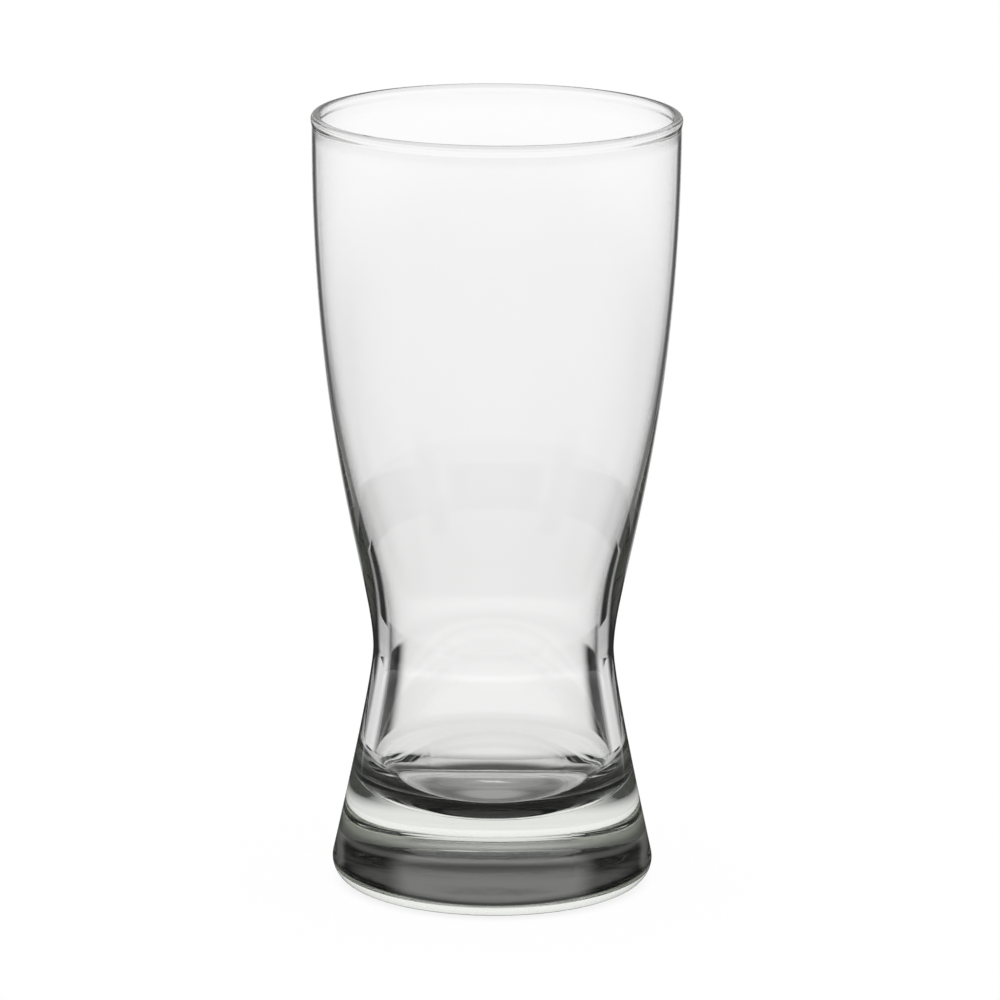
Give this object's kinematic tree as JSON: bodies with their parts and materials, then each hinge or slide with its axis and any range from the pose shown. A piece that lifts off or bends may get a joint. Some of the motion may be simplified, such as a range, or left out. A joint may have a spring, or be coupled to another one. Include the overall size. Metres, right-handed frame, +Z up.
{
  "type": "hourglass beer glass",
  "caption": "Clear hourglass beer glass with a rolled rim, a narrow waist to hold it by and a heavy solid foot.",
  "frame": {"origin": "centre of the underside, on the surface that the glass stands on", "axes": "+Z up along the glass's axis of symmetry, from the foot to the rim; the glass is the same all round it"},
  "size_m": [0.073, 0.073, 0.155],
  "materials": {
    "clear_glass": "clear fire-polished soda-lime glass, neutral with a faint green tint where it is thick"
  },
  "bodies": {
    "root": {"beer_glass": "clear_glass"}
  },
  "joints": []
}
